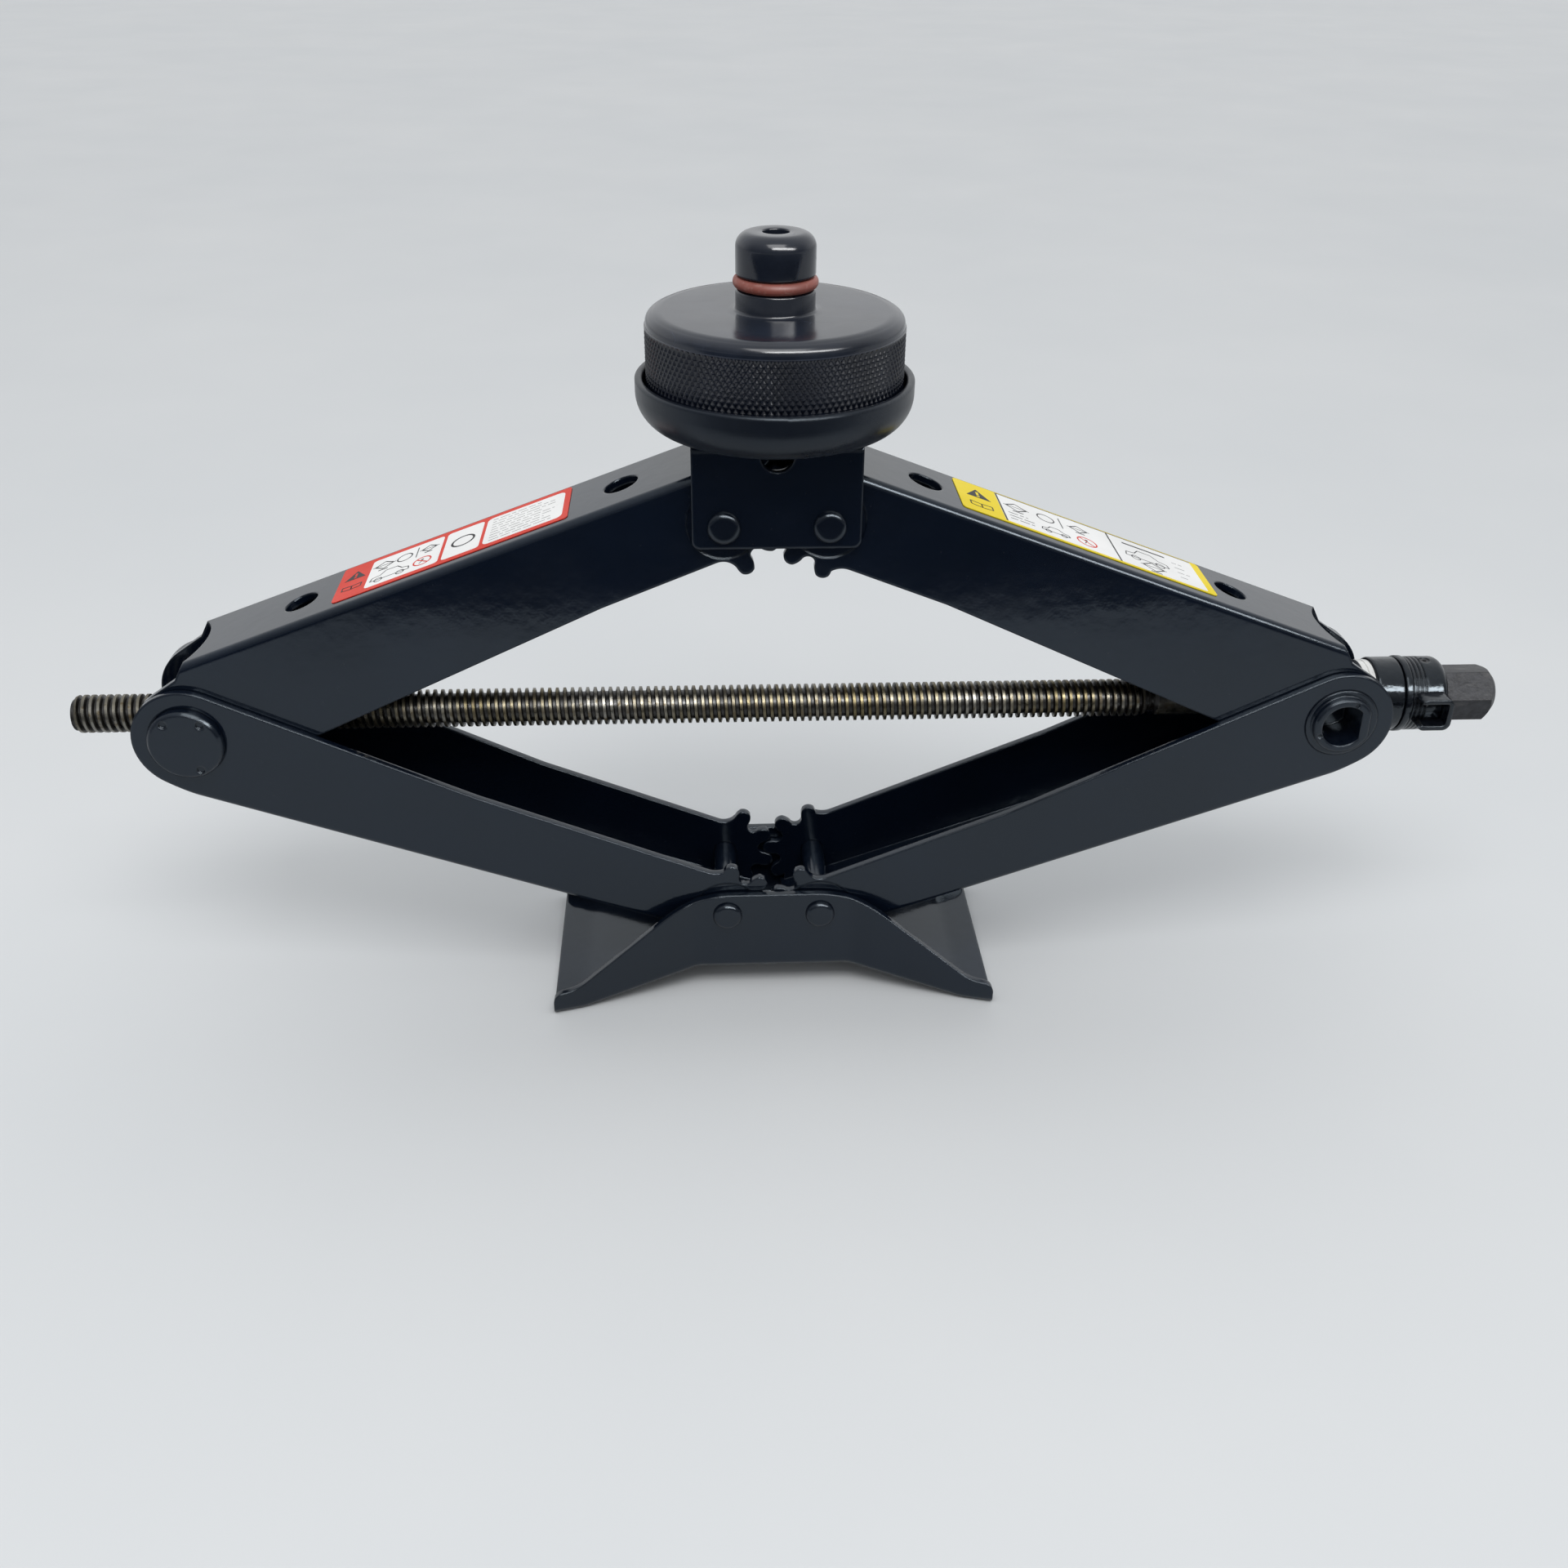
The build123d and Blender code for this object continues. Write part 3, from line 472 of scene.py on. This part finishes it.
def knurl(column, row):
    """0 on the flat top of a diamond, 1 at the bottom of a groove."""
    phases = [((column + lean * row) % KNURL_CELL) / KNURL_CELL for lean in (1, -1)]
    deepest = max(abs(2.0 * phase - 1.0) for phase in phases)
    return max(0.0, (deepest - DIAMOND_FLAT) / (1.0 - DIAMOND_FLAT))


def build_pad():
    profile, band = pad_profile()
    columns = KNURL_TURNS * KNURL_CELL
    bm = bmesh.new()
    previous = None
    for index, (r, z) in enumerate(profile):
        depth = 0.0
        if index in band:
            edge = min(index - band.start, band.stop - 1 - index)
            depth = KNURL_DEPTH * min(1.0, edge / KNURL_FADE)
        loop = []
        for k in range(columns if r else 1):
            turn = 2 * math.pi * k / columns
            out = r - depth * knurl(k, index - band.start)
            loop.append(bm.verts.new((out * math.cos(turn), out * math.sin(turn), z)))
        if previous:
            place = KNURLED if band.start < index < band.stop else PLAIN
            for k in range(columns):
                n = (k + 1) % columns
                if len(previous) == 1:
                    corners = previous[0], loop[n], loop[k]
                elif len(loop) == 1:
                    corners = previous[k], previous[n], loop[0]
                else:
                    corners = previous[k], previous[n], loop[n], loop[k]
                bm.faces.new(corners).material_index = place
        previous = loop
    bmesh.ops.recalc_face_normals(bm, faces=bm.faces)
    mesh = mesh_from(bm, "pad_body")
    shade(mesh, 40)
    made = piece("pad_body", mesh, "pad", [PAD, KNURL])
    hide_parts("jack_pad")


build_pad()


# ---- lead screw with a real helix ----------------------------------------------------------
THREAD_PITCH, THREAD_AROUND = 2.54 * MM, 40            # lead, mesh steps in one turn
FLANK_ANGLE = 14.5                                     # degrees, a trapezoidal thread
RUN_IN, RUN_OUT = 2.0 * MM, 5.0 * MM                   # where the ridge rises and dies away
SAME_SPOT, WELD = 1e-7, 2e-6                           # metres


def wind_thread(bm, start, end):
    """One trapezoidal ridge wound about the screw's axis from start to end along X."""
    flank = (SCREW_OUTER - SCREW_CORE) * math.tan(math.radians(FLANK_ANGLE))
    flat = THREAD_PITCH / 2 - flank
    # one turn of the profile: (distance along the axis, radius)
    shape = [(0.0, SCREW_CORE), (flank, SCREW_OUTER), (flank + flat, SCREW_OUTER),
             (2 * flank + flat, SCREW_CORE), (THREAD_PITCH, SCREW_CORE)]
    steps = (int((end - start) / THREAD_PITCH) + 1) * THREAD_AROUND
    grid = []
    for i in range(steps + 1):
        turn = 2 * math.pi * i / THREAD_AROUND
        column = []
        for u, r in shape:
            x = start - THREAD_PITCH + i * THREAD_PITCH / THREAD_AROUND + u
            rise = min(1.0, max(0.0, (x - start) / RUN_IN)) ** 0.5
            fall = min(1.0, max(0.0, (end - x) / RUN_OUT))
            out = SCREW_CORE + (r - SCREW_CORE) * min(rise, fall)
            x = min(max(x, start), end)
            column.append(bm.verts.new((x, out * math.cos(turn), SCREW_Z + out * math.sin(turn))))
        grid.append(column)
    for one, two in zip(grid, grid[1:]):
        for k in range(len(shape) - 1):
            a, b, c, d = one[k], one[k + 1], two[k + 1], two[k]
            if (a.co - b.co).length > SAME_SPOT or (c.co - d.co).length > SAME_SPOT:
                bm.faces.new((a, b, c, d))
    bmesh.ops.remove_doubles(bm, verts=bm.verts, dist=WELD)
    bmesh.ops.recalc_face_normals(bm, faces=bm.faces)


def turn_form(bm, points, steps=64):
    """A lathe form about the screw's axis from (x, radius) points."""
    loops = []
    for x, r in points:
        if r:
            circle = arc(0, SCREW_Z, r, 0, 360, steps)[:-1]
            loops.append([bm.verts.new((x, y, z)) for y, z in circle])
        else:
            loops.append([bm.verts.new((x, 0, SCREW_Z))] * steps)
    for one, two in zip(loops, loops[1:]):
        for k in range(steps):
            n = (k + 1) % steps
            corners = list(dict.fromkeys((one[k], one[n], two[n], two[k])))
            bm.faces.new(corners[::-1])


def build_screw():
    low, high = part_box("lead_screw")
    start, end = low.x + 0.4 * MM, 130.0 * MM
    shank, shank_end, tail = 6.0 * MM, 216.9 * MM, 5.0 * MM
    proud = 0.02 * MM                      # keeps the lathe forms off the thread's root
    bm = bmesh.new()
    wind_thread(bm, start, end)
    # the chamfered free end
    turn_form(bm, [(low.x, 0), (low.x, SCREW_CORE - 1.3 * MM),
                   (low.x + 0.25 * MM, SCREW_CORE - 0.8 * MM),
                   (low.x + 1.2 * MM, SCREW_CORE - proud),
                   (low.x + 3.6 * MM, SCREW_CORE - proud), (low.x + 3.6 * MM, 0)])
    # the plain shank past the thread, and the thinner tail inside the drive
    turn_form(bm, [(end - 1.0 * MM, 0), (end - 1.0 * MM, SCREW_CORE + proud),
                   (end + 0.4 * MM, SCREW_CORE + proud), (end + 1.5 * MM, shank),
                   (shank_end, shank), (shank_end, tail), (high.x, tail), (high.x, 0)])
    mesh = mesh_from(bm, "screw_thread")
    shade(mesh, 38)
    made = piece("screw_thread", mesh, "screw", [THREAD])
    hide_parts("lead_screw")


build_screw()


# ---- printed labels ------------------------------------------------------------------------
WHITE, INK, TINT, RED, GREY = range(5)     # a print's material places
PRINT_LOW, PRINT_STEP = 0.01, 0.02         # mm: a print's underside, and each layer's rise


class Label:
    """Flat prints over a label node. u runs along the arm towards +X and v across it, away from
    the front, both in millimetres. Prints with a higher layer lie over the others."""

    def __init__(self, node):
        mesh = nodes[node].data
        face = max((p for p in mesh.polygons if p.normal.z > 0.3), key=lambda p: p.area)
        self.normal = face.normal.copy()
        self.across = Vector((0, 1, 0))
        self.along = self.across.cross(self.normal).normalized()
        corners = [v.co for v in mesh.vertices]
        self.level = max(c.dot(self.normal) for c in corners)
        us = [c.dot(self.along) for c in corners]
        vs = [c.dot(self.across) for c in corners]
        self.u0, self.v0 = min(us), min(vs)
        self.length, self.width = (max(us) - min(us)) / MM, (max(vs) - min(vs)) / MM
        self.bm = bmesh.new()

    def spot(self, u, v, lift):
        return (self.along * (self.u0 + u * MM) + self.across * (self.v0 + v * MM)
                + self.normal * (self.level + lift * MM))

    def patch(self, points, ink, layer):
        """A thin closed print inside the points."""
        rise = PRINT_STEP * (1 + layer)
        low = [self.bm.verts.new(self.spot(u, v, PRINT_LOW)) for u, v in points]
        high = [self.bm.verts.new(self.spot(u, v, rise)) for u, v in points]
        self.bm.faces.new(high).material_index = ink
        self.bm.faces.new(low[::-1]).material_index = ink
        for i in range(len(points)):
            n = (i + 1) % len(points)
            self.bm.faces.new((low[i], low[n], high[n], high[i])).material_index = ink

    def panel(self, u, v, du, dv, ink, layer, corner):
        """A rectangle with rounded corners."""
        right, left, far, near = u + du - corner, u + corner, v + dv - corner, v + corner
        points = (arc(right, far, corner, 0, 90, 4) + arc(left, far, corner, 90, 180, 4)
                  + arc(left, near, corner, 180, 270, 4) + arc(right, near, corner, 270, 360, 4))
        self.patch(points, ink, layer)

    def disc(self, u, v, r, ink, layer, steps):
        self.patch(arc(u, v, r, 0, 360, steps)[:-1], ink, layer)

    def bar(self, points, thick, ink, layer):
        """A stroke through the points."""
        for (u0, v0), (u1, v1) in zip(points, points[1:]):
            length = math.hypot(u1 - u0, v1 - v0)
            nu, nv = -(v1 - v0) / length * thick / 2, (u1 - u0) / length * thick / 2
            self.patch([(u0 + nu, v0 + nv), (u0 - nu, v0 - nv),
                        (u1 - nu, v1 - nv), (u1 + nu, v1 + nv)], ink, layer)

    def ring(self, u, v, r, thick, ink, layer, steps=28):
        self.bar(arc(u, v, r, 0, 360, steps), thick, ink, layer)

    def finish(self, name, body, slot, materials):
        bmesh.ops.recalc_face_normals(self.bm, faces=self.bm.faces)
        piece(name, mesh_from(self.bm, name), body, materials)


def jack_sign(label, u, v, size):
    """A generic lozenge linkage on a base line."""
    half, h, foot = size / 2, size * 0.42, size / 4
    label.bar([(u - half, v), (u, v + h), (u + half, v), (u, v - h), (u - half, v)], 0.5, INK, 1)
    label.bar([(u - half - 0.8, v), (u + half + 0.8, v)], 0.35, INK, 1)
    label.bar([(u - foot, v - h - 0.7), (u + foot, v - h - 0.7)], 0.6, INK, 1)


def car_sign(label, u, v, size):
    """A generic car outline on two wheels."""
    outline = [(-0.5, 0.0), (-0.46, 0.18), (-0.26, 0.22), (-0.14, 0.42), (0.16, 0.42),
               (0.3, 0.22), (0.48, 0.16), (0.5, 0.0), (-0.5, 0.0)]
    label.bar([(u + x * size, v + y * size) for x, y in outline], 0.4, INK, 1)
    for x in (-0.28, 0.28):
        label.ring(u + x * size, v - 0.02 * size, 0.1 * size, 0.4, INK, 1, 14)


def no_sign(label, u, v, r):
    """A prohibition ring over a small figure."""
    label.bar([(u - 0.3 * r, v - 0.5 * r), (u, v + 0.1 * r), (u + 0.35 * r, v - 0.45 * r)],
              0.35, INK, 1)
    label.disc(u, v + 0.38 * r, 0.17 * r, INK, 1, 12)
    label.ring(u, v, r, 0.55, RED, 2)
    label.bar([(u - 0.68 * r, v + 0.68 * r), (u + 0.68 * r, v - 0.68 * r)], 0.5, RED, 2)


def triangle_sign(label, u, v, size):
    """A caution triangle with a stroke and a dot in the film's own colour."""
    half = size / 2
    label.patch([(u - half, v - half * 0.8), (u + half, v - half * 0.8), (u, v + half * 0.9)],
                INK, 1)
    label.bar([(u, v + half * 0.35), (u, v - half * 0.25)], size * 0.11, TINT, 2)
    label.disc(u, v - half * 0.5, size * 0.07, TINT, 2, 10)


def book_sign(label, u, v, size):
    """An open book: two leaves about a spine."""
    half = size / 2
    for side in (-half, half):
        label.bar([(u, v - half * 0.45), (u + side, v - half * 0.3), (u + side, v + half * 0.5),
                   (u, v + half * 0.35), (u, v - half * 0.45)], 0.45, INK, 1)


def text_lines(label, u, v, length, height, count, thick, ink):
    """A block of plain strokes where the film carries small print."""
    shortest, longest, least, gap = 1.2, 4.5, 0.4, 0.7
    for k in range(count):
        reach = length * (1.0 if k % 3 else 0.82) * random.uniform(0.9, 1.0)
        level = v + height * (count - 1 - k) / (count - 1)
        start = u
        while start < u + reach:
            word = min(random.uniform(shortest, longest), u + reach - start)
            if word > least:
                label.bar([(start, level), (start + word, level)], thick, ink, 1)
            start += word + gap


def build_left_label():
    """Red film: its tinted end outward, then three white panels."""
    label = Label("label_left")
    w, length = label.width, label.length
    margin, tall, upper = 2.4, w - 5.0, w * 0.66
    first, second, third = 0.135 * length, 0.465 * length, 0.640 * length
    last_long = 0.335 * length
    label.panel(first, margin, 0.315 * length, tall, WHITE, 0, 1.4)
    label.panel(second, margin, 0.160 * length, tall, WHITE, 0, 1.4)
    label.panel(third, margin, last_long, tall, WHITE, 0, 2.2)
    triangle_sign(label, first * 0.52, upper, 7.4)
    book_sign(label, first * 0.52, w * 0.30, 6.6)
    jack_sign(label, first + 4.8, upper, 6.6)
    label.ring(first + 12.0, upper, 2.6, 0.5, INK, 1)
    label.bar([(first + 16.4, w * 0.52), (first + 16.4, w * 0.82)], 0.35, INK, 1)
    jack_sign(label, first + 20.6, w * 0.68, 5.4)
    car_sign(label, first + 8.2, w * 0.24, 13.5)
    no_sign(label, first + 19.4, w * 0.32, 3.0)
    label.ring(second + 0.08 * length, w * 0.5, 3.8, 0.8, INK, 1)
    text_lines(label, third + 2.0, margin + 2.2, last_long - 4.2, tall - 4.4, 9, 0.38, GREY)
    label.finish("label_left_print", "upper_left", "label_red",
                 [WHITE_FILM, INK_FILM, RED_FILM, RED_FILM, GREY_FILM])


def build_right_label():
    """Yellow film: its tinted end towards the pad, then one white panel cut by dark rules."""
    label = Label("label_right")
    w, length = label.width, label.length
    margin, tall, upper = 1.3, w - 2.2, w * 0.66
    first, second, last = 0.165 * length, 0.615 * length, 0.965 * length
    label.panel(first, margin, last - first, tall, WHITE, 0, 0.8)
    for rule in (first + 0.4, second):
        label.bar([(rule, margin), (rule, margin + tall)], 0.6, INK, 1)
    label.bar([(first, margin + tall), (last, margin + tall)], 0.4, INK, 2)
    triangle_sign(label, first * 0.50, upper, 8.6)
    book_sign(label, first * 0.50, w * 0.26, 7.6)
    jack_sign(label, first + 6.4, upper, 7.6)
    label.ring(first + 17.0, upper, 3.0, 0.5, INK, 1)
    label.bar([(first + 22.5, w * 0.50), (first + 22.5, w * 0.84)], 0.4, INK, 1)
    jack_sign(label, first + 29.0, w * 0.68, 6.6)
    text_lines(label, first + 2.4, w * 0.20, 9.0, w * 0.20, 3, 0.4, INK)
    car_sign(label, first + 18.5, w * 0.22, 10.0)
    no_sign(label, first + 30.0, w * 0.30, 3.4)
    label.bar([(second + 5.0, w * 0.80), (second + 21.0, w * 0.80)], 1.0, INK, 1)
    car_sign(label, second + 12.0, w * 0.40, 16.0)
    jack_sign(label, second + 13.0, w * 0.24, 8.0)
    text_lines(label, second + 23.0, w * 0.24, 5.0, w * 0.46, 4, 0.4, GREY)
    label.finish("label_right_print", "upper_right", "label_yellow",
                 [WHITE_FILM, INK_FILM, YELLOW_FILM, RED_FILM, GREY_FILM])


build_left_label()
build_right_label()


# ---- stage and light -----------------------------------------------------------------------
def staged(name, bm, material):
    """An object of the set, not of the jack."""
    mesh = mesh_from(bm, name)
    mesh.materials.append(material)
    made = bpy.data.objects.new(name, mesh)
    scene.collection.objects.link(made)
    return made


def build_table():
    reach, divisions = 9.0, 12
    bm = bmesh.new()
    bmesh.ops.create_grid(bm, x_segments=divisions, y_segments=divisions, size=reach)
    staged("stage_floor", bm, stage_floor("stage_floor"))


def build_dark_card():
    """Seen only in reflections: the dark room beyond the front edge of the table."""
    near, far, side, height = -0.325, -2.2, 1.6, 0.002
    bm = bmesh.new()
    corners = [(-side, far), (side, far), (side, near), (-side, near)]
    bm.faces.new([bm.verts.new((x, y, height)) for x, y in corners])
    card = staged("stage_card", bm, dull_black("stage_card"))
    card.visible_camera = card.visible_diffuse = False
    card.visible_shadow = card.visible_transmission = False


def area_light(name, spot, aim, size, power, glints_only=False):
    """A rectangular light. With glints_only it shows in highlights and lights nothing else."""
    data = bpy.data.lights.new(name, "AREA")
    data.shape = "RECTANGLE"
    data.size, data.size_y = size
    data.energy = power
    light = bpy.data.objects.new(name, data)
    light.location = spot
    light.rotation_euler = (Vector(aim) - Vector(spot)).to_track_quat("-Z", "Y").to_euler()
    light.visible_diffuse = not glints_only
    scene.collection.objects.link(light)


def build_world():
    """A room lit from behind and above the object: bright high over +Y, dim over -Y."""
    turn_start, turn_end = -0.35, 0.45     # where Y goes from the dim side to the bright
    cool = (0.97, 0.985, 1.0)
    world = bpy.data.worlds.new("world")
    scene.world = world
    world.use_nodes = True
    tree = world.node_tree
    background = tree.nodes["Background"]
    place = tree.nodes.new("ShaderNodeTexCoord")
    split = tree.nodes.new("ShaderNodeSeparateXYZ")
    tree.links.new(place.outputs["Generated"], split.inputs[0])

    def ramp(stops):
        """Grey levels by height, from the horizon (0) to straight up (1)."""
        node = tree.nodes.new("ShaderNodeValToRGB")
        elements = node.color_ramp.elements
        elements[0].position, elements[1].position = stops[0][0], stops[-1][0]
        for position, _ in stops[1:-1]:
            elements.new(position)
        for element, (_, level) in zip(elements, stops):
            element.color = (*scaled(cool, level), 1)
        tree.links.new(split.outputs["Z"], node.inputs["Fac"])
        return node.outputs["Color"]

    behind = ramp([(0.0, 0.80), (0.12, 0.92), (0.25, 1.0), (0.6, 0.95), (1.0, 0.90)])
    ahead = ramp([(0.0, 0.16), (0.4, 0.36), (1.0, 0.90)])
    side = tree.nodes.new("ShaderNodeMapRange")
    side.interpolation_type = "SMOOTHSTEP"
    side.inputs["From Min"].default_value = turn_start
    side.inputs["From Max"].default_value = turn_end
    tree.links.new(split.outputs["Y"], side.inputs["Value"])
    blend = tree.nodes.new("ShaderNodeMix")
    blend.data_type = "RGBA"
    tree.links.new(side.outputs["Result"], blend.inputs["Factor"])
    tree.links.new(ahead, blend.inputs[6])
    tree.links.new(behind, blend.inputs[7])
    tree.links.new(blend.outputs[2], background.inputs["Color"])
    background.inputs["Strength"].default_value = 1.0


build_table()
build_dark_card()
build_world()
area_light("overhead", spot=(0.0, -0.62, 1.15), aim=(0, 0.03, 0.08), size=(0.8, 0.5),
           power=5.5)
area_light("ceiling_strip", spot=(0.62, -1.05, 0.98), aim=(0.62, 0.03, 0.08),
           size=(1.7, 0.3), power=32, glints_only=True)

scene.view_settings.view_transform = "Standard"
